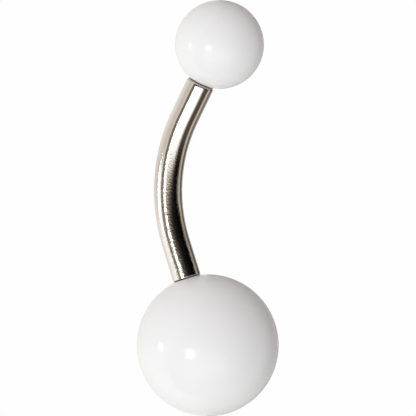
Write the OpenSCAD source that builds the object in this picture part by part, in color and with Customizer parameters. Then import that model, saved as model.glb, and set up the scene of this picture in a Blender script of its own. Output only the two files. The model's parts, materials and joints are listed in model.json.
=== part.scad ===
// Navel ring: a bent steel bar with a threaded stud at each end and a screw-on ball on each stud.
// It lies as it comes to rest: on its two balls and on the bow of the bar, which leans to one side.

/* [Balls] */
// Diameter of the small ball, which is worn above the navel
small_ball_d = 5; // [4:0.5:6]
// Diameter of the large ball, which is worn in the navel
large_ball_d = 8; // [7:0.5:10]
// Depth of each ball's hole beyond the tip of the stud
hole_spare = 0.3; // [0.1:0.1:0.8]
// Bevel around the mouth of each ball's hole
hole_bevel = 0.05; // [0.02:0.01:0.08]

/* [Bar] */
// Diameter of the bar
bar_d = 1.6; // [1.5:0.05:2]
// Straight distance between the two shoulders that the balls screw against
bar_l = 11.1; // [9.5:0.1:14]
// Radius of the bend, at the middle of the bar
bend_r = 9.4; // [8.5:0.1:11]
// Angle that the bar is bent through
bend_angle = 44.6; // [38:0.2:52]
// Bevel around each end of the bar
bar_bevel = 0.08; // [0.03:0.01:0.12]

/* [Studs] */
// Outer diameter of the thread on each stud
thread_d = 1.2; // [1:0.05:1.3]
// Distance from one turn of the thread to the next
thread_pitch = 0.25; // [0.2:0.05:0.35]
// Length of each stud beyond its shoulder
stud_l = 2.4; // [2:0.1:2.8]
// Plain neck between the shoulder and the first turn
neck_l = 0.2; // [0.1:0.05:0.4]
// Least length of the plain cone at the stud's tip
tip_l = 0.1; // [0.05:0.05:0.3]

/* [Fits] */
// Gap between each shoulder and the flat seat of its ball
seat_gap = 0.02; // [0.01:0.01:0.05]
// Radial gap between the thread's crests and the wall of the ball's hole
thread_gap = 0.03; // [0.02:0.01:0.06]

/* [Hidden] */
$fn = 96;
SMALL_END = -1;
LARGE_END = 1;
// A cut reaches this far past the surface that it opens
cut_over = 0.5;
// Each straight stretch starts this far inside the bend, and is this much thinner, so that they fuse cleanly
lap_l = 0.1;
lap_step = 0.001;

// Bar, drawn in the XZ plane with the bend's centre at the origin and the bow towards -Z
bar_r = bar_d / 2;
half_bend = bend_angle / 2;
straight_l = (bar_l / 2 - bend_r * sin(half_bend)) / cos(half_bend);
bend_end = [bend_r * sin(half_bend), -bend_r * cos(half_bend)];

// Thread: a metric thread's depth is this share of its pitch
depth_share = 0.54;
crest_r = thread_d / 2;
root_r = crest_r - depth_share * thread_pitch;
turns = floor((stud_l - neck_l - tip_l) / thread_pitch);
first_turn = straight_l + neck_l;
tip_cone = root_r / 3;

// Balls: a flat seat as wide as the bar, and a blind hole for the stud
small_r = small_ball_d / 2;
large_r = large_ball_d / 2;
hole_r = crest_r + thread_gap;
hole_l = stud_l + hole_spare;
function seat_h(ball_r) = sqrt(ball_r * ball_r - bar_r * bar_r);
function ball_along(ball_r) = straight_l + seat_gap + seat_h(ball_r);
function ball_place(side, ball_r) = [
    side * (bend_end[0] + ball_along(ball_r) * cos(half_bend)),
    0,
    bend_end[1] + ball_along(ball_r) * sin(half_bend)
];
small_place = ball_place(SMALL_END, small_r);
large_place = ball_place(LARGE_END, large_r);

// Rest: up is the direction in which both balls and the bow reach down to the same level.
// rise and stand are its shares along the line of the balls and square to that line.
span = norm(large_place - small_place);
line = (large_place - small_place) / span;
across = [-line[2], 0, line[0]];
rise = (large_r - small_r) / span;
drop = small_r - bar_r - rise * (small_place * line);
hang = -(small_place * across);
spread = bend_r * bend_r - hang * hang;
excess = bend_r * bend_r * rise * rise - drop * drop;
touching = (drop * hang + sqrt(drop * drop * hang * hang - spread * excess)) / spread;
stand = min(touching, sqrt(1 - rise * rise));
up = rise * line + stand * across;
in_plane = norm(up);
lean = -acos(min(1, in_plane));
pitch = atan2(-up[0], up[2]);
yaw = atan2(sin(lean) * rise, sqrt(in_plane * in_plane - rise * rise));

function turn_x(p, a) = [p[0], p[1] * cos(a) - p[2] * sin(a), p[1] * sin(a) + p[2] * cos(a)];
function turn_y(p, a) = [p[0] * cos(a) + p[2] * sin(a), p[1], p[2] * cos(a) - p[0] * sin(a)];
function turn_z(p, a) = [p[0] * cos(a) - p[1] * sin(a), p[0] * sin(a) + p[1] * cos(a), p[2]];
function turned(p) = turn_z(turn_x(turn_y(p, pitch), lean), yaw);
small_turned = turned(small_place);
large_turned = turned(large_place);
shift = [
    -(small_turned[0] - small_r + large_turned[0] + large_r) / 2,
    -small_turned[1],
    small_r - small_turned[2]
];

// Stands the drawn ring on the floor, with its middle over the origin
module at_rest() {
    translate(shift) rotate([0, 0, yaw]) rotate([lean, 0, 0]) rotate([0, pitch, 0]) children();
}

// Places what follows where the bend ends on one side, with +Z out along the straight stretch
module at_bend_end(side) {
    translate([side * bend_end[0], 0, bend_end[1]]) rotate([0, side * (90 - half_bend), 0]) children();
}

// The bent stretch of the bar
module bend() {
    rotate([90, 0, 0]) rotate([0, 0, -90 - half_bend])
        rotate_extrude(angle = bend_angle) translate([bend_r, 0]) circle(d = bar_d);
}

// One straight stretch with its bevelled shoulder, neck, ringed thread and tip
module bar_end() {
    stretch = [
        [0, -lap_l],
        [bar_r - lap_step, -lap_l],
        [bar_r - lap_step, straight_l - bar_bevel],
        [bar_r - bar_bevel, straight_l],
        [root_r, straight_l],
        [root_r, first_turn]
    ];
    rings = [
        for (turn = [0:turns - 1], half = [0.5, 1])
            [half == 1 ? root_r : crest_r, first_turn + (turn + half) * thread_pitch]
    ];
    tip = [
        [root_r - tip_cone, straight_l + stud_l],
        [0, straight_l + stud_l]
    ];
    rotate_extrude() polygon(concat(stretch, rings, tip));
}

// A ball with its flat seat and blind hole, drawn where it screws onto a stud
module ball(ball_r) {
    seat_z = straight_l + seat_gap;
    difference() {
        translate([0, 0, seat_z + seat_h(ball_r)]) sphere(r = ball_r);
        translate([0, 0, seat_z - ball_r]) cylinder(h = ball_r, r = ball_r);
        translate([0, 0, seat_z - cut_over]) cylinder(h = cut_over + hole_l, r = hole_r);
        translate([0, 0, seat_z]) cylinder(h = hole_bevel, r1 = hole_r + hole_bevel, r2 = hole_r);
    }
}

module curved_bar() {
    color("silver") at_rest() {
        bend();
        for (side = [SMALL_END, LARGE_END]) at_bend_end(side) bar_end();
    }
}

module small_ball() {
    color("white") at_rest() at_bend_end(SMALL_END) ball(small_r);
}

module large_ball() {
    color("white") at_rest() at_bend_end(LARGE_END) ball(large_r);
}

curved_bar();
small_ball();
large_ball();
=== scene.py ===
"""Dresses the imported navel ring: a bent steel bar, two acrylic balls and a white studio around them."""
import json
import math

import bmesh
import bpy
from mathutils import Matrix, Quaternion, Vector


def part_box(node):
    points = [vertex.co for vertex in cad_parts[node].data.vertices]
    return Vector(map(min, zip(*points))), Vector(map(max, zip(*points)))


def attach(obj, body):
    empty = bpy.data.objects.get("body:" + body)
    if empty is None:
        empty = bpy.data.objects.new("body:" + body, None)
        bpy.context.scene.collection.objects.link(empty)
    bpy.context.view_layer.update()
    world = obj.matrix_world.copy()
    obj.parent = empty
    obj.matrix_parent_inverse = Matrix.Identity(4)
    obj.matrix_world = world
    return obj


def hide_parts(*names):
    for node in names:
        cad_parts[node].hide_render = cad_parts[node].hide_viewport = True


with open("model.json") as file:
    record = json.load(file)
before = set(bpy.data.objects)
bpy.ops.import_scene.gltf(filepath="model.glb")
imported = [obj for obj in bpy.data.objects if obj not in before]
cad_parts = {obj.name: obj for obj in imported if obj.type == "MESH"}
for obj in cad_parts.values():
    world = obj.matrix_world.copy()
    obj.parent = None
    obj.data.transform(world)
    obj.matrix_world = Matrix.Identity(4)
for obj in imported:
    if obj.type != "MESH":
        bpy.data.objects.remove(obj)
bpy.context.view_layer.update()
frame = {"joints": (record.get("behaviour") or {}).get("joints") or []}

bl_info = {
    "name": "Navel ring",
    "version": (1, 0, 0),
    "blender": (4, 5, 0),
    "location": "View3D > Sidebar > Navel ring",
    "description": "Models a navel ring around its packed CAD part, with a small white studio",
    "category": "Add Mesh",
}

# Modelling, in millimetres: a piece is made at one unit to the millimetre, where Blender's tools work well
MM = 1000
SHARP_ANGLE = math.radians(30)
LEAST_LEFT = 0.9  # least share of its reach that a piece keeps when a solid is added or cut out
WELD = 0.0001
CUT_TOLERANCE = 0.00001
SQUARE_ON = 0.999  # cosine past which a face counts as square to an axis

BAR_SIDES = 96
BEND_STEPS = 64
BEVEL_SLOPE = 0.75  # drop of a shoulder's bevel for its length
EDGE_SOFTENING = 0.4  # rounding of a bevel's inner edge, as a share of its length
EDGE_STEPS = 5
RING_WIDTH = 0.08  # narrow ring beside each bevel, which keeps the long faces' shading straight

STUD_SIDES = 48
STUD_SINK = 0.3  # how far a stud's root reaches into the bar
TIP_SHARE = 1 / 3  # length of the cone at a stud's tip, as a share of the root's radius
THREAD_DEPTH = 0.54  # as a share of the pitch
THREAD_FLAT = 0.125  # width of the crest, as a share of the pitch
THREAD_FLANK = math.radians(30)
THREAD_SINK = 0.03  # how far a ridge's foot reaches into what carries it

BALL_SIDES = 160
BORE_SPARE = 0.035  # from the root of the stud's thread to the bore's wall
BORE_END_LENGTH = 0.4  # length of the cone at a bore's end, as a share of the bore's radius
BORE_END_WIDTH = 0.2  # width of its flat tip, as a share of the bore's

# Materials, in metres. A pair gives the places where a change starts and where it is full, and a triple
# is the strength of a change with such a pair
WHITE = (1, 1, 1, 1)
BLACK = (0, 0, 0, 1)
# Painted shade and painted reflection in the crevice at each ball: a brown band stands in for the shaded ball
# mirrored in the bevel, and a dark line for the shadow in the seat's gap
PAINTED_REFLECTION_BROWN = (0.5, 0.45, 0.39, 1)
PAINTED_REFLECTION_HEART = 0.5  # share of the painted brown band's width where it is full
PAINTED_CREVICE_SHADOW = (0.08, 0.065, 0.055, 1)
PAINTED_CREVICE_SHADOW_EDGE = (0.00002, 0.00006)
LEAST_GRAIN = 0.15
BEND_GRAIN_FADE = (0.85, -0.005, -0.001)
LARGE_END_GRAIN_FADE = (0.8, -0.001, 0.002)
PATCH_GRAINS = 12  # size of a faint patch, in grains
PATCH_EDGE = (0.35, 0.65)
PATCH_SHADES = (0.97, 1.02)  # of the steel's colour
PATCH_GLOSS_LOSS = 0.04
CLOUD_SIZE = 0.002
CLOUD_SHADE = 0.985  # of the acrylic's colour
CLOUD_GLOSS_LOSS = 0.03
RIPPLE_SIZE = 0.0006
RIPPLE_DEPTH = 0.0000015
ACRYLIC_IOR = 1.49
ACRYLIC_SHINE = 0.25

# Camera and floor
SENSOR = 36  # width in millimetres
CLIP_RANGE = 100  # how many times nearer or farther than its aim the camera still sees
FLOOR_GLOW = 0.99

# Places that light comes from: how far to the right, upwards and toward the camera
RIGHT = (1, 0, 0)
UP = (0, 1, 0)
TOWARD = (0, 0, 1)
BEHIND = (0, 0, -1)
GLOW_PLACE = (-0.59, -0.38, 0.715)
BOUNCE_PLACE = (0.15, 0, -1)
ROSY_PLACE = (0.4, 0.8, -0.07)

# Soft light, by its closeness to a place: 1 straight from it, -1 from opposite it
GLOW_FADE = (0.995, -0.29, -0.11)
FILL_FADE = (0.43, 0.3, 0.9)
BOUNCE_FADE = (13, 0.97, 0.995)
ROSY_EDGE = (0.7, 0.97)
ROSY_LIGHT = 0.14
ROSY = (1, 0.25, 0.35, 1)

# Mirrored light: what is dim has a warm tint, except straight behind
DIM_TINT = (1, 0.84, 0.66, 1)
BRIGHT_EDGE = (0.0, 1.6)
PLAIN_BEHIND_FADE = (0.7, 0.5, 0.75)

# Its parts, in degrees across to the right from the camera, or upwards. A slant is how an edge leans, in
# degrees for each degree of the other direction
FLOOR_LIGHT = 1.04
FLOOR_LEFT_LOSS = (0.12, -140, -112)
FLOOR_RIGHT_LOSS = (0.23, -115, -65)
STREAK_LOSS = (0.11, -4, 3)
STREAK_TOP = (5, 9)
LOW_FLOOR_LIGHT = 0.88
LOW_FLOOR_GAIN = (0.31, -138, -112)
LOW_FLOOR_SLANT = 0.25
LOW_FLOOR_TOP = (13, 23.5)
FAR_FLOOR_LIGHT = 0.6
FAR_FLOOR_GAIN = (0.4, -175, -122)
FLOOR_END_SLANT = 0.62
FLOOR_END = (-65, -55)

BOX_LIGHT = 2.0
BOX_MOST = 1.45
BOX_START_SLANT = 0.2
BOX_START = (-51, -20)
BOX_END_SLANT = 0.1
BOX_END = (16, 52)
BOX_BOTTOM = (-60, -42)
BOX_TOP_SLANT = 0.22
BOX_TOP_START = -19
BOX_TOP_ANGLE = 32
BOX_TOP = (
    (0.0, 1.0), (0.12, 0.88), (0.2, 0.76), (0.31, 0.54), (0.36, 0.38), (0.45, 0.19), (0.52, 0.11),
    (0.6, 0.07), (0.66, 0.045), (0.81, 0.015), (1.0, 0.0),
)
BOX_TOP_LOSS = (0.5, -6, 5)
BOX_CORNER_LOSS = (0.55, -6, 0)
BOX_CORNER_END = (-18, -8)
BOX_HAZE = 0.05
BOX_HAZE_END = (-14, 30)

BAND_LIGHT = 0.6
BAND_START = (80, 96)
BAND_LOW_SHIFT = (7, 3, 9)
BAND_HIGH_SHIFT = (4, 14, 19)
BAND_HEART = 0.98
BAND_HEART_LOSS = (0.78, 103, 119)
BAND_SECOND_GAIN = (0.45, 128, 146)
BAND_FAR_LOSS = (0.6, 148, 168)
BAND_HIGH_LOSS = (0.35, 10, 16)
BAND_HIGH_START = (94, 103)

GAP_FADE = (0.19, -72, -60)
GAP_END = (-48, -20)
LOW_HAZE = 0.09
LOW_HAZE_TOP = (-30, -12)
FAR_HAZE_FADE = (0.1, 150, 175)

# The lamps and their halos; radius and softness in degrees
LAMPS = (
    {"place": (-0.475, -0.205, 0.856), "radius": 10.5, "softness": 4, "light": 6.0},
    {"place": (-0.99, -0.03, 0.128), "radius": 7.5, "softness": 5, "light": 5.5},
    {"place": (-0.966, -0.03, 0.257), "radius": 17, "softness": 15, "light": 0.1},
    {"place": (0.985, -0.035, 0.169), "radius": 12, "softness": 12, "light": 0.12},
    {"place": BEHIND, "radius": 42, "softness": 36, "light": 0.25},
)


# Sizes and colours that a user would change

class NavelRingBar(bpy.types.PropertyGroup):
    """Sizes and finish of the steel bar"""

    thickness: bpy.props.FloatProperty(
        name="Thickness", description="Diameter of the bar", default=0.0016, unit="LENGTH", precision=5
    )
    bend_radius: bpy.props.FloatProperty(
        name="Bend radius", description="Radius of the bend, at the middle of the bar", default=0.0094,
        unit="LENGTH", precision=5,
    )
    small_bevel: bpy.props.FloatProperty(
        name="Small end's bevel", description="Length along the bar of the bevel at the small ball",
        default=0.00014, unit="LENGTH", precision=5,
    )
    large_bevel: bpy.props.FloatProperty(
        name="Large end's bevel", description="Length along the bar of the bevel at the large ball",
        default=0.00006, unit="LENGTH", precision=5,
    )
    thread_diameter: bpy.props.FloatProperty(
        name="Thread diameter", description="Outer diameter of the thread on each stud", default=0.0012,
        unit="LENGTH", precision=5,
    )
    thread_pitch: bpy.props.FloatProperty(
        name="Thread pitch", description="Distance from one turn to the next", default=0.00025,
        unit="LENGTH", precision=5,
    )
    stud_length: bpy.props.FloatProperty(
        name="Stud length", description="Length of each stud beyond its shoulder", default=0.0024,
        unit="LENGTH", precision=5,
    )
    neck: bpy.props.FloatProperty(
        name="Neck", description="Plain neck between a shoulder and the thread", default=0.0002,
        unit="LENGTH", precision=5,
    )
    steel: bpy.props.FloatVectorProperty(
        name="Steel", description="Colour of the polished steel", default=(0.74, 0.72, 0.68),
        subtype="COLOR", min=0, max=1,
    )
    gloss_loss: bpy.props.FloatProperty(
        name="Roughness", description="Roughness of the polished steel", default=0.09, subtype="FACTOR",
        min=0, max=1,
    )
    grain: bpy.props.FloatProperty(
        name="Grain", description="Size of the fine grain that polishing left", default=0.0001,
        unit="LENGTH", precision=5,
    )
    grain_depth: bpy.props.FloatProperty(
        name="Grain depth", description="Depth of that grain on the bend", default=0.000006,
        unit="LENGTH", precision=6,
    )
    # Widths of the painted shade in the crevice at each end: a brown band that stands in for the shaded ball
    # mirrored in the bevel
    small_crevice_shade: bpy.props.FloatProperty(
        name="Small end's film", description="Width of the brown film in the crevice at the small ball",
        default=0.00018, unit="LENGTH", precision=5,
    )
    large_crevice_shade: bpy.props.FloatProperty(
        name="Large end's film", description="Width of the brown film in the crevice at the large ball",
        default=0.00006, unit="LENGTH", precision=5,
    )


class NavelRingBalls(bpy.types.PropertyGroup):
    """Sizes and finish of the two acrylic balls"""

    small_diameter: bpy.props.FloatProperty(
        name="Small ball", description="Diameter of the small ball", default=0.005, unit="LENGTH", precision=5
    )
    large_diameter: bpy.props.FloatProperty(
        name="Large ball", description="Diameter of the large ball", default=0.008, unit="LENGTH", precision=5
    )
    seat_gap: bpy.props.FloatProperty(
        name="Seat gap", description="Gap between a shoulder and the flat seat of its ball", default=0.00002,
        unit="LENGTH", precision=5,
    )
    thread_gap: bpy.props.FloatProperty(
        name="Thread gap", description="Gap between the stud's thread and the thread in the ball",
        default=0.00002, unit="LENGTH", precision=5,
    )
    hole_spare: bpy.props.FloatProperty(
        name="Spare depth", description="Depth of each hole beyond the stud's tip", default=0.0003,
        unit="LENGTH", precision=5,
    )
    hole_bevel: bpy.props.FloatProperty(
        name="Hole bevel", description="Bevel around the mouth of each hole", default=0.00005,
        unit="LENGTH", precision=5,
    )
    acrylic: bpy.props.FloatVectorProperty(
        name="Acrylic", description="Colour of the white acrylic", default=(0.92, 0.92, 0.92),
        subtype="COLOR", min=0, max=1,
    )
    gloss_loss: bpy.props.FloatProperty(
        name="Roughness", description="Roughness of the polished acrylic", default=0.06, subtype="FACTOR",
        min=0, max=1,
    )


class NavelRingStudio(bpy.types.PropertyGroup):
    """Camera, floor and light"""

    distance: bpy.props.FloatProperty(
        name="Distance", description="From the camera to the point that it looks at", default=0.25,
        unit="LENGTH",
    )
    lens: bpy.props.FloatProperty(
        name="Lens", description="Focal length, for a sensor 36 mm wide", default=384.1, unit="CAMERA"
    )
    azimuth: bpy.props.FloatProperty(
        name="Azimuth", description="Where the camera stands around the ring; 0 looks along +Y",
        default=math.radians(-8.45), subtype="ANGLE",
    )
    elevation: bpy.props.FloatProperty(
        name="Elevation", description="Height of the camera above the horizon",
        default=math.radians(44.27), subtype="ANGLE",
    )
    roll: bpy.props.FloatProperty(
        name="Roll", description="Turn of the camera about its line of sight", default=math.radians(101.76),
        subtype="ANGLE",
    )
    aim: bpy.props.FloatVectorProperty(
        name="Aim", description="The point that the camera looks at",
        default=(0.0000034, -0.0002225, 0.0031346), subtype="XYZ", unit="LENGTH", precision=6,
    )
    floor_side: bpy.props.FloatProperty(
        name="Floor", description="Length of each side of the floor", default=1.2, unit="LENGTH"
    )


# The places of balls and studs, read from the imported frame, in millimetres

class End:
    """One end of the ring: its ball, and the shoulder that the ball screws against."""

    def __init__(self, node, joint, diameter, context):
        # a ball's body has the name of its node
        self.node = node
        self.body = node
        self.radius = diameter / 2 * MM
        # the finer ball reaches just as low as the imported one
        lowest, highest = (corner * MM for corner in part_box(node))
        self.centre = (lowest + highest) / 2
        self.centre.z = lowest.z + self.radius
        (found,) = (j for j in frame["joints"] if j["name"] == joint)
        self.axis = Vector(found["axis"]).normalized()
        bar_radius = context.scene.navel_ring_bar.thickness / 2 * MM
        self.seat = math.sqrt(self.radius**2 - bar_radius**2)
        gap = context.scene.navel_ring_balls.seat_gap * MM
        self.shoulder = self.centre - self.axis * (self.seat + gap)


def ends(context):
    """The small end and the large end of the ring."""
    balls = context.scene.navel_ring_balls
    return (
        End("small_ball", "small_ball_off", balls.small_diameter, context),
        End("large_ball", "large_ball_off", balls.large_diameter, context),
    )


# Modelling by operators: each works on one piece in edit mode, on what was selected by its place

def settle():
    """Leaves edit mode and deselects everything."""
    if bpy.context.object and bpy.context.object.mode != "OBJECT":
        bpy.ops.object.mode_set(mode="OBJECT")
    bpy.ops.object.select_all(action="DESELECT")


def take(piece):
    """Makes a piece the only one that is selected, and the active one."""
    settle()
    piece.select_set(True)
    bpy.context.view_layer.objects.active = piece
    return piece


def begin(name):
    """Names the primitive that was just added and opens it in edit mode."""
    piece = bpy.context.object
    piece.name = name
    piece.data.name = name
    bpy.ops.object.transform_apply(location=True, rotation=True, scale=True)
    bpy.ops.object.mode_set(mode="EDIT")
    return piece


def pick(piece, mode, test):
    """Selects the vertices, edges or faces that pass a test, and nothing else."""
    bpy.ops.mesh.select_mode(type=mode)
    bpy.ops.mesh.select_all(action="DESELECT")
    mesh = bmesh.from_edit_mesh(piece.data)
    for part in {"VERT": mesh.verts, "EDGE": mesh.edges, "FACE": mesh.faces}[mode]:
        if test(part):
            part.select_set(True)
    mesh.select_flush_mode()
    bmesh.update_edit_mesh(piece.data)


def push(step, widen=1.0, centre=Vector()):
    """Extrudes the selected face by a step, and widens or narrows it about its new middle."""
    bpy.ops.mesh.extrude_region_move(TRANSFORM_OT_translate={"value": step})
    if widen != 1.0:
        bpy.ops.transform.resize(value=(widen,) * 3, center_override=centre + step)


def face_outwards(piece):
    """Turns every face of a closed piece outwards, and leaves edit mode."""
    if bpy.context.object.mode != "EDIT":
        take(piece)
        bpy.ops.object.mode_set(mode="EDIT")
    bpy.ops.mesh.select_all(action="SELECT")
    bpy.ops.mesh.normals_make_consistent(inside=False)
    settle()


def turned_to(axis):
    """The rotation that turns +Z to an axis."""
    return axis.to_track_quat("Z", "Y").to_euler()


def apply_modifier(piece, kind, **settings):
    """Adds a modifier with its settings and applies it."""
    take(piece)
    modifier = piece.modifiers.new(kind.title(), kind)
    for name, value in settings.items():
        setattr(modifier, name, value)
    bpy.ops.object.modifier_apply(modifier=modifier.name)


def combine(piece, other, operation):
    """Adds another solid to a piece or cuts it out, removes it, and raises if the piece is lost."""
    # only triangles are quite flat
    for solid in (piece, other):
        apply_modifier(solid, "TRIANGULATE")
    reach = piece.dimensions.length
    apply_modifier(piece, "BOOLEAN", operation=operation, object=other, solver="EXACT")
    bpy.data.objects.remove(other)
    bpy.context.view_layer.update()
    if piece.dimensions.length < LEAST_LEFT * reach:
        raise RuntimeError(f"{operation} lost most of {piece.name}")


def placed_copy(piece, name, place, axis):
    """A copy with its own mesh, turned so that its +Z follows an axis."""
    made = piece.copy()
    made.data = piece.data.copy()
    made.name = name
    bpy.context.collection.objects.link(made)
    made.rotation_euler = turned_to(axis)
    made.location = place
    take(made)
    bpy.ops.object.transform_apply(location=True, rotation=True, scale=True)
    return made


def finish(piece, node, body, material):
    """Brings a piece to its real size, smooths it, and puts it on its body in place of its CAD node."""
    take(piece)
    piece.scale = (1 / MM,) * 3
    bpy.ops.object.transform_apply(location=False, rotation=False, scale=True)
    bpy.ops.object.shade_smooth_by_angle(angle=SHARP_ANGLE)
    piece.data.materials.clear()
    piece.data.materials.append(material)
    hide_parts(node)
    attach(piece, body)
    settle()


# Shader nodes

class Term:
    """A shader value. Arithmetic on it adds the Math node that works it out."""

    def __init__(self, paint, socket):
        self.paint = paint
        self.socket = socket

    def __add__(self, other):
        return self.paint.maths("ADD", self, other)

    def __radd__(self, other):
        return self.paint.maths("ADD", other, self)

    def __sub__(self, other):
        return self.paint.maths("SUBTRACT", self, other)

    def __rsub__(self, other):
        return self.paint.maths("SUBTRACT", other, self)

    def __mul__(self, other):
        return self.paint.maths("MULTIPLY", self, other)

    def __rmul__(self, other):
        return self.paint.maths("MULTIPLY", other, self)


class Paint:
    """Adds and links the nodes of one material or world."""

    def __init__(self, owner):
        owner.use_nodes = True
        self.tree = owner.node_tree
        self.tree.nodes.clear()

    def node(self, kind, settings=None, inputs=None, output=0):
        """Adds a node, sets it, fills or links its sockets, and returns one of its outputs."""
        made = self.tree.nodes.new(kind)
        for name, value in (settings or {}).items():
            if name == "stops":
                self.set_stops(made.color_ramp, value)
            else:
                setattr(made, name, value)
        for name, value in (inputs or {}).items():
            if isinstance(value, Term):
                self.tree.links.new(value.socket, made.inputs[name])
            else:
                made.inputs[name].default_value = value
        return Term(self, made.outputs[output]) if made.outputs else None

    @staticmethod
    def set_stops(ramp, stops):
        """Gives a colour ramp its stops, each a place and a grey."""
        while len(ramp.elements) < len(stops):
            ramp.elements.new(1.0)
        for element, (place, grey) in zip(ramp.elements, stops):
            element.position = place
            element.color = opaque((grey,) * 3)

    def maths(self, operation, *terms):
        """Adds a Math node that works on values, numbers or both."""
        return self.node("ShaderNodeMath", {"operation": operation}, dict(enumerate(terms)))

    def smooth(self, value, start, end):
        """0 up to the start, 1 from the end, and an even S between them."""
        return self.node(
            "ShaderNodeMapRange", {"interpolation_type": "SMOOTHSTEP"},
            {"Value": value, "From Min": start, "From Max": end},
        )

    def fade(self, value, strength, start, end):
        """0 up to the start, and the strength from the end."""
        return strength * self.smooth(value, start, end)

    def blend(self, share, first, second):
        """The first colour where the share is 0, the second where it is 1."""
        # the Mix node keeps its colours in the sockets 6 and 7, and the mixed one in its output 2
        return self.node("ShaderNodeMix", {"data_type": "RGBA"}, {0: share, 6: first, 7: second}, 2)

    def along(self, vector, axis):
        """How far a vector reaches along an axis."""
        return self.node("ShaderNodeVectorMath", {"operation": "DOT_PRODUCT"}, {0: vector, 1: axis}, "Value")

    def noise(self, place, size, detail=2.0):
        """Soft noise from 0 to 1, with grains of about that size in metres."""
        return self.node(
            "ShaderNodeTexNoise", None, {"Vector": place, "Scale": 1 / size, "Detail": detail}
        )

    def bump(self, height, depth):
        """Normals that follow a height from 0 to 1, for a depth in metres."""
        return self.node("ShaderNodeBump", None, {"Strength": 1.0, "Distance": depth, "Height": height})

    def surface(self, inputs):
        """Covers the material's surface with one Principled shader."""
        shader = self.node("ShaderNodeBsdfPrincipled", None, inputs)
        self.node("ShaderNodeOutputMaterial", None, {"Surface": shader})


def opaque(colour):
    """A colour with its alpha."""
    return (*colour, 1.0)


def steel_material(settings, shaded_crevices):
    """Polished steel with fine grain on the bend, and painted shade and reflection in the crevice at each
    ball.
    """
    material = bpy.data.materials.new("polished_steel")
    paint = Paint(material)
    place = paint.node("ShaderNodeTexCoord", output="Object")
    # the small end kept its shine, and the grain grows towards the large end
    lengthwise = paint.along(place, (1, 0, 0))
    worked = LEAST_GRAIN + paint.fade(lengthwise, *BEND_GRAIN_FADE)
    worked = worked + paint.fade(lengthwise, *LARGE_END_GRAIN_FADE)
    grain = worked * paint.noise(place, settings.grain, detail=1.0)
    patches = paint.noise(place, settings.grain * PATCH_GRAINS)
    darker, lighter = (opaque(Vector(settings.steel) * shade) for shade in PATCH_SHADES)
    colour = paint.blend(paint.smooth(patches, *PATCH_EDGE), darker, lighter)
    # painted shade: a brown band stands in for the shaded ball mirrored in the bevel, and a dark line for the
    # shadow in the crevice
    for end, shade_width in shaded_crevices:
        depth = paint.maths("ABSOLUTE", end.shoulder.dot(end.axis) / MM - paint.along(place, end.axis))
        shade_edge = (PAINTED_REFLECTION_HEART * shade_width, shade_width)
        colour = paint.blend(paint.smooth(depth, *shade_edge), PAINTED_REFLECTION_BROWN, colour)
        colour = paint.blend(paint.smooth(depth, *PAINTED_CREVICE_SHADOW_EDGE), PAINTED_CREVICE_SHADOW, colour)
    paint.surface({
        "Base Color": colour,
        "Metallic": 1.0,
        "Roughness": settings.gloss_loss + PATCH_GLOSS_LOSS * patches,
        "Normal": paint.bump(grain, settings.grain_depth),
    })
    return material


def acrylic_material(settings):
    """Opaque white acrylic with a high polish, faint clouds and a slight ripple."""
    material = bpy.data.materials.new("white_acrylic")
    paint = Paint(material)
    place = paint.node("ShaderNodeTexCoord", output="Object")
    clouds = paint.noise(place, CLOUD_SIZE)
    acrylic = Vector(settings.acrylic)
    paint.surface({
        "Base Color": paint.blend(clouds, opaque(acrylic * CLOUD_SHADE), opaque(acrylic)),
        "Roughness": settings.gloss_loss + CLOUD_GLOSS_LOSS * clouds,
        "IOR": ACRYLIC_IOR,
        "Specular IOR Level": ACRYLIC_SHINE,
        "Normal": paint.bump(paint.noise(place, RIPPLE_SIZE), RIPPLE_DEPTH),
    })
    return material


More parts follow.
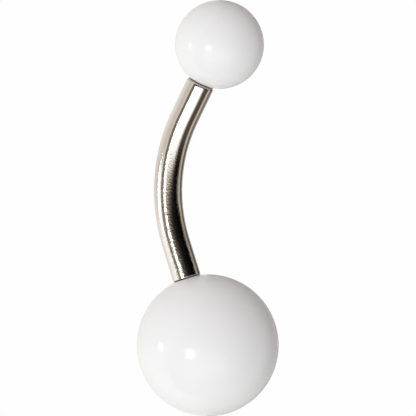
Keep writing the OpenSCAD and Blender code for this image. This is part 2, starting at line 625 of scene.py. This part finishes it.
class StudioPaint(Paint):
    """Paints the studio's light on the world, by where it comes from in the photograph's view."""

    def __init__(self, world, turn):
        super().__init__(world)
        self.turn = turn
        self.ray = self.node("ShaderNodeTexCoord", output="Generated")

    def closeness(self, place):
        """How nearly a ray comes from a place: 1 straight from it, -1 from opposite it."""
        return self.along(self.ray, self.turn @ Vector(place).normalized())

    def background(self, colour, strength):
        """Light of a colour and a strength."""
        return self.node("ShaderNodeBackground", None, {"Color": colour, "Strength": strength})

    def soft_light(self):
        """Colour and strength of a wide glow in front, a fill and a bounce behind, and a rosy light."""
        glow = self.fade(self.closeness(GLOW_PLACE), *GLOW_FADE)
        fill = self.fade(self.closeness(BEHIND), *FILL_FADE)
        bounce = self.fade(self.closeness(BOUNCE_PLACE), *BOUNCE_FADE)
        rosy = self.smooth(self.closeness(ROSY_PLACE), *ROSY_EDGE)
        return self.blend(rosy, WHITE, ROSY), glow + (fill + bounce + ROSY_LIGHT * rosy)

    def mirrored_light(self):
        """Colour and strength of what the bar mirrors, and of the lamps that shine on the balls."""
        across = self.maths("ARCTAN2", self.closeness(RIGHT), self.closeness(TOWARD))
        across = across * math.degrees(1)
        rise = self.maths("ARCSINE", self.closeness(UP)) * math.degrees(1)
        light = self.floor_light(across, rise) + self.box_light(across, rise)
        light = light + self.band_light(across, rise) + self.haze(across, rise)
        for lamp in LAMPS:
            edge = math.cos(math.radians(lamp["radius"]))
            heart = math.cos(math.radians(lamp["radius"] - lamp["softness"]))
            light = light + self.fade(self.closeness(lamp["place"]), lamp["light"], edge, heart)
        # only the rims of the balls mirror what is straight behind
        bright = self.smooth(light, *BRIGHT_EDGE)
        straight_behind = self.fade(self.closeness(BEHIND), *PLAIN_BEHIND_FADE)
        return self.blend(self.maths("MAXIMUM", bright, straight_behind), DIM_TINT, WHITE), light

    def floor_light(self, across, rise):
        """The floor on the left, brighter low down, up to the dark gap beside the soft box."""
        upper = FLOOR_LIGHT - self.fade(across, *FLOOR_LEFT_LOSS) - self.fade(across, *FLOOR_RIGHT_LOSS)
        upper = upper - self.fade(rise, *STREAK_LOSS) * (1 - self.smooth(rise, *STREAK_TOP))
        lower = LOW_FLOOR_LIGHT + self.fade(across, *LOW_FLOOR_GAIN)
        low = 1 - self.smooth(rise - LOW_FLOOR_SLANT * across, *LOW_FLOOR_TOP)
        floor = (upper + (lower - upper) * low) * (FAR_FLOOR_LIGHT + self.fade(across, *FAR_FLOOR_GAIN))
        return floor * (1 - self.smooth(across - FLOOR_END_SLANT * rise, *FLOOR_END))

    def box_light(self, across, rise):
        """The soft box over the camera, which fades slantwise into the dark."""
        top_angle = rise + BOX_TOP_SLANT * across - BOX_TOP_START
        top = self.node("ShaderNodeValToRGB", {"stops": BOX_TOP}, {"Fac": top_angle * (1 / BOX_TOP_ANGLE)})
        box = BOX_LIGHT * top * (1 - self.smooth(across - BOX_END_SLANT * rise, *BOX_END))
        box = self.maths("MINIMUM", box * (1 - self.fade(rise, *BOX_TOP_LOSS)), BOX_MOST)
        corner = self.fade(rise, *BOX_CORNER_LOSS) * (1 - self.smooth(across, *BOX_CORNER_END))
        haze = BOX_HAZE * (1 - self.smooth(across, *BOX_HAZE_END))
        start = self.smooth(across - BOX_START_SLANT * rise, *BOX_START)
        return start * self.smooth(rise, *BOX_BOTTOM) * (box * (1 - corner) + haze)

    def band_light(self, across, rise):
        """A dimmer double band on the right, behind the soft box."""
        behind = across - self.fade(rise, *BAND_LOW_SHIFT) + self.fade(rise, *BAND_HIGH_SHIFT)
        heart = BAND_HEART - self.fade(behind, *BAND_HEART_LOSS) + self.fade(behind, *BAND_SECOND_GAIN)
        band = self.fade(behind, BAND_LIGHT, *BAND_START) * heart
        band = band * (1 - self.fade(behind, *BAND_FAR_LOSS))
        return band * (1 - self.fade(rise, *BAND_HIGH_LOSS) * self.smooth(across, *BAND_HIGH_START))

    def haze(self, across, rise):
        """The faint light in the gap between the floor and the soft box, low down and far behind."""
        gap = self.fade(across, *GAP_FADE) * (1 - self.smooth(across, *GAP_END))
        low = LOW_HAZE * (1 - self.smooth(rise, *LOW_HAZE_TOP))
        return gap + low + self.fade(across, *FAR_HAZE_FADE)


# Operators, one for each piece or group of like pieces and one for the stage

class NAVELRING_OT_bar(bpy.types.Operator):
    """Model the bent steel bar with its bevelled shoulders and threaded studs"""

    bl_idname = "navel_ring.bar"
    bl_label = "Bar"

    def execute(self, context):
        sizes = context.scene.navel_ring_bar
        small, large = ends(context)
        radius = sizes.thickness / 2 * MM
        bend_radius = sizes.bend_radius * MM
        small_rings = self.bevel_rings(radius, sizes.small_bevel * MM)
        large_rings = self.bevel_rings(radius, sizes.large_bevel * MM)

        # the bar runs in from the small end's shoulder, bends, and runs out to the large end's
        way_in, way_out = -small.axis, large.axis
        bend = way_in.angle(way_out)
        chord = (large.shoulder - small.shoulder).length
        straight = (chord / 2 - bend_radius * math.sin(bend / 2)) / math.cos(bend / 2)
        hollow_side = (way_out - way_in * way_out.dot(way_in)).normalized()
        bend_centre = small.shoulder + way_in * straight + hollow_side * bend_radius

        settle()
        bpy.ops.mesh.primitive_circle_add(
            vertices=BAR_SIDES, radius=small_rings[0][0], fill_type="NGON",
            location=small.shoulder, rotation=turned_to(small.axis),
        )
        bar = begin("steel_bar")
        bpy.ops.mesh.select_all(action="SELECT")
        self.bevel(small_rings, way_in, small.shoulder)
        push(way_in * RING_WIDTH)
        push(way_in * (straight - small_rings[-1][1] - RING_WIDTH))
        bpy.ops.mesh.spin(
            steps=BEND_STEPS, angle=bend, center=bend_centre, axis=way_out.cross(way_in).normalized()
        )
        push(way_out * (straight - large_rings[-1][1] - RING_WIDTH))
        push(way_out * RING_WIDTH)
        self.bevel(large_rings[::-1], -way_out, large.shoulder)
        face_outwards(bar)

        stud = self.stud(sizes)
        for end, side in ((small, "small"), (large, "large")):
            combine(bar, placed_copy(stud, f"{side}_stud", end.shoulder, end.axis), "UNION")
        bpy.data.objects.remove(stud)
        steel = steel_material(sizes, ((small, sizes.small_crevice_shade), (large, sizes.large_crevice_shade)))
        finish(bar, "curved_bar", "bar", steel)
        return {"FINISHED"}

    def bevel_rings(self, radius, length):
        """The radius and depth of each ring around a shoulder's bevel, whose inner edge is rounded."""
        drop = BEVEL_SLOPE * length
        slope = math.atan2(drop, length)
        softening = EDGE_SOFTENING * length
        curve = softening / math.tan(slope / 2)
        angles = [slope * step / EDGE_STEPS for step in range(EDGE_STEPS, -1, -1)]
        return [(radius - drop, 0)] + [
            (radius - curve * (1 - math.cos(angle)), length + softening - curve * math.sin(angle))
            for angle in angles
        ]

    def bevel(self, rings, inwards, shoulder):
        """Carries the bar's open end from ring to ring over a shoulder's bevel."""
        for (before, from_depth), (after, to_depth) in zip(rings, rings[1:]):
            push(inwards * (to_depth - from_depth), after / before, shoulder + inwards * from_depth)

    def stud(self, sizes):
        """A threaded stud that stands on the origin, with its root sunk below it."""
        thread = Thread(sizes)
        length = sizes.stud_length * MM
        tip = thread.root * TIP_SHARE

        # the core's corners stand halfway between the thread's, so that no two edges meet
        settle()
        bpy.ops.mesh.primitive_circle_add(
            vertices=STUD_SIDES, radius=thread.root, fill_type="NGON",
            location=(0, 0, -STUD_SINK), rotation=(0, 0, math.pi / STUD_SIDES),
        )
        stud = begin("stud")
        bpy.ops.mesh.select_all(action="SELECT")
        push(Vector((0, 0, STUD_SINK + length - tip)))
        push(Vector((0, 0, tip)), (thread.root - tip) / thread.root, Vector((0, 0, length - tip)))
        face_outwards(stud)
        turns = int((length - thread.first - tip) / thread.pitch + 0.5)
        combine(stud, thread.ridge(thread.root - THREAD_SINK, thread.crest, thread.first, turns), "UNION")
        return stud


class Thread:
    """The thread on each stud, in millimetres, and the one that is cut into each ball to fit it."""

    def __init__(self, sizes):
        self.crest = sizes.thread_diameter / 2 * MM
        self.pitch = sizes.thread_pitch * MM
        self.root = self.crest - THREAD_DEPTH * self.pitch
        self.first = sizes.neck * MM + self.pitch / 2

    def ridge(self, foot, top, start, turns, spare=0.0):
        """A closed helical ridge around +Z, from one radius to another, and thicker by a spare."""
        middle = (foot + top) / 2
        settle()
        bpy.ops.mesh.primitive_plane_add(size=1, location=(middle, 0, start), rotation=(math.pi / 2, 0, 0))
        ridge = begin("ridge")
        bpy.ops.mesh.select_all(action="SELECT")
        bpy.ops.transform.resize(value=(top - foot, 1, 1), center_override=(middle, 0, start))
        for outer, radius in ((False, foot), (True, top)):
            flanks = 2 * math.tan(THREAD_FLANK) * (self.crest - radius)
            width = THREAD_FLAT * self.pitch + flanks + 2 * spare
            pick(ridge, "VERT", lambda corner: (corner.co.x > middle) == outer)
            bpy.ops.transform.resize(value=(1, 1, width), center_override=(0, 0, start))
        settle()
        apply_modifier(
            ridge, "SCREW", axis="Z", screw_offset=self.pitch, iterations=turns, steps=STUD_SIDES,
            render_steps=STUD_SIDES, use_normal_calculate=True,
        )
        bpy.ops.object.mode_set(mode="EDIT")
        bpy.ops.mesh.select_all(action="SELECT")
        bpy.ops.mesh.remove_doubles(threshold=WELD)
        bpy.ops.mesh.select_all(action="SELECT")
        bpy.ops.mesh.fill_holes(sides=4)
        face_outwards(ridge)
        return ridge


class NAVELRING_OT_balls(bpy.types.Operator):
    """Model the two acrylic balls, each with its flat seat and its threaded blind hole"""

    bl_idname = "navel_ring.balls"
    bl_label = "Balls"

    def execute(self, context):
        balls = context.scene.navel_ring_balls
        bar = context.scene.navel_ring_bar
        material = acrylic_material(balls)
        for end in ends(context):
            finish(self.ball(end, balls, bar), end.node, end.body, material)
        return {"FINISHED"}

    def ball(self, end, balls, bar):
        """One ball, round its own stud's axis."""
        settle()
        bpy.ops.mesh.primitive_uv_sphere_add(
            segments=BALL_SIDES, ring_count=BALL_SIDES // 2, radius=end.radius,
            location=end.centre, rotation=turned_to(end.axis),
        )
        ball = begin(f"acrylic_{end.node}")
        seat_middle = end.centre - end.axis * end.seat
        bpy.ops.mesh.select_all(action="SELECT")
        bpy.ops.mesh.bisect(
            plane_co=seat_middle, plane_no=end.axis, use_fill=True, clear_inner=True,
            threshold=CUT_TOLERANCE,
        )
        thread = Thread(bar)
        gap = balls.thread_gap * MM
        bore = thread.root + BORE_SPARE
        mouth = thread.crest + gap + balls.hole_bevel * MM
        depth = (bar.stud_length + balls.hole_spare) * MM
        pick(ball, "FACE", lambda face: face.normal.dot(end.axis) < -SQUARE_ON)
        bpy.ops.mesh.inset(thickness=bar.thickness / 2 * MM - mouth)
        push(end.axis * (mouth - bore), bore / mouth, seat_middle)
        push(end.axis * (depth - mouth + bore))
        push(end.axis * (bore * BORE_END_LENGTH), BORE_END_WIDTH, seat_middle + end.axis * depth)
        face_outwards(ball)
        start = thread.first - thread.pitch
        turns = int((depth - start) / thread.pitch)
        tap = thread.ridge(bore - THREAD_SINK, thread.crest + gap, start, turns, gap)
        combine(ball, placed_copy(tap, "tap", end.shoulder, end.axis), "DIFFERENCE")
        bpy.data.objects.remove(tap)
        return ball


class NAVELRING_OT_stage(bpy.types.Operator):
    """Set up the white floor, the soft studio light and the camera"""

    bl_idname = "navel_ring.stage"
    bl_label = "Stage"

    def execute(self, context):
        studio = context.scene.navel_ring_studio
        settle()
        bpy.ops.mesh.primitive_plane_add(size=studio.floor_side)
        floor = context.object
        floor.name = "floor"
        floor.data.materials.append(self.floor_material())
        floor.visible_glossy = False
        floor.visible_diffuse = False
        floor.visible_shadow = False
        self.camera(context, studio)
        context.scene.world = self.light(studio)
        context.scene.view_settings.view_transform = "Standard"
        return {"FINISHED"}

    def floor_material(self):
        """White paper that glows by itself, so it is white all over."""
        material = bpy.data.materials.new("white_floor")
        Paint(material).surface({
            "Base Color": BLACK,
            "Roughness": 1.0,
            "Specular IOR Level": 0.0,
            "Emission Color": WHITE,
            "Emission Strength": FLOOR_GLOW,
        })
        return material

    def camera(self, context, studio):
        """Stands the camera at the photograph's angle."""
        toward = direction(studio.azimuth, studio.elevation)
        settle()
        bpy.ops.object.camera_add(location=Vector(studio.aim) + toward * studio.distance)
        camera = context.object
        camera.name = "camera"
        camera.rotation_mode = "QUATERNION"
        camera.rotation_quaternion = camera_turn(studio)
        camera.data.lens = studio.lens
        camera.data.sensor_width = SENSOR
        camera.data.clip_start = studio.distance / CLIP_RANGE
        camera.data.clip_end = studio.distance * CLIP_RANGE
        context.scene.camera = camera

    def light(self, studio):
        """The studio all round: mirrored light on gloss, soft light on the rest, and white for the camera."""
        world = bpy.data.worlds.new("studio")
        paint = StudioPaint(world, camera_turn(studio))
        in_gloss = paint.node("ShaderNodeLightPath", output="Is Glossy Ray")
        in_camera = paint.node("ShaderNodeLightPath", output="Is Camera Ray")
        soft = paint.background(*paint.soft_light())
        mirrored = paint.background(*paint.mirrored_light())
        paper = paint.background(WHITE, 1.0)
        shown = paint.node("ShaderNodeMixShader", None, {0: in_gloss, 1: soft, 2: mirrored})
        shown = paint.node("ShaderNodeMixShader", None, {0: in_camera, 1: shown, 2: paper})
        paint.node("ShaderNodeOutputWorld", None, {"Surface": shown})
        return world


def direction(azimuth, elevation):
    """The unit vector to a place seen at that azimuth and elevation."""
    flat = math.cos(elevation)
    return Vector((math.sin(azimuth) * flat, -math.cos(azimuth) * flat, math.sin(elevation)))


def camera_turn(studio):
    """The camera's rotation: looking at its aim, then rolled."""
    toward = direction(studio.azimuth, studio.elevation)
    return toward.to_track_quat("Z", "Y") @ Quaternion((0, 0, 1), studio.roll)


class NAVELRING_PT_panel(bpy.types.Panel):
    """Lists the ring's sizes, colours and pieces"""

    bl_label = "Navel ring"
    bl_idname = "NAVELRING_PT_panel"
    bl_space_type = "VIEW_3D"
    bl_region_type = "UI"
    bl_category = "Navel ring"

    def draw(self, context):
        for title, settings, operator in (
            ("Bar", context.scene.navel_ring_bar, "navel_ring.bar"),
            ("Balls", context.scene.navel_ring_balls, "navel_ring.balls"),
            ("Stage", context.scene.navel_ring_studio, "navel_ring.stage"),
        ):
            box = self.layout.box()
            box.label(text=title)
            for name in settings.__annotations__:
                box.prop(settings, name)
            box.operator(operator)


CLASSES = (
    NavelRingBar, NavelRingBalls, NavelRingStudio,
    NAVELRING_OT_bar, NAVELRING_OT_balls, NAVELRING_OT_stage, NAVELRING_PT_panel,
)
GROUPS = {
    "navel_ring_bar": NavelRingBar,
    "navel_ring_balls": NavelRingBalls,
    "navel_ring_studio": NavelRingStudio,
}


def register():
    """Registers the classes and gives every scene their settings."""
    for made in CLASSES:
        bpy.utils.register_class(made)
    for name, group in GROUPS.items():
        setattr(bpy.types.Scene, name, bpy.props.PointerProperty(type=group))


def unregister():
    """Takes the settings and the classes away again."""
    for name in GROUPS:
        delattr(bpy.types.Scene, name)
    for made in reversed(CLASSES):
        bpy.utils.unregister_class(made)


def main():
    """Builds the pieces and the stage."""
    register()
    bpy.ops.navel_ring.bar()
    bpy.ops.navel_ring.balls()
    bpy.ops.navel_ring.stage()


if __name__ == "__main__":
    main()
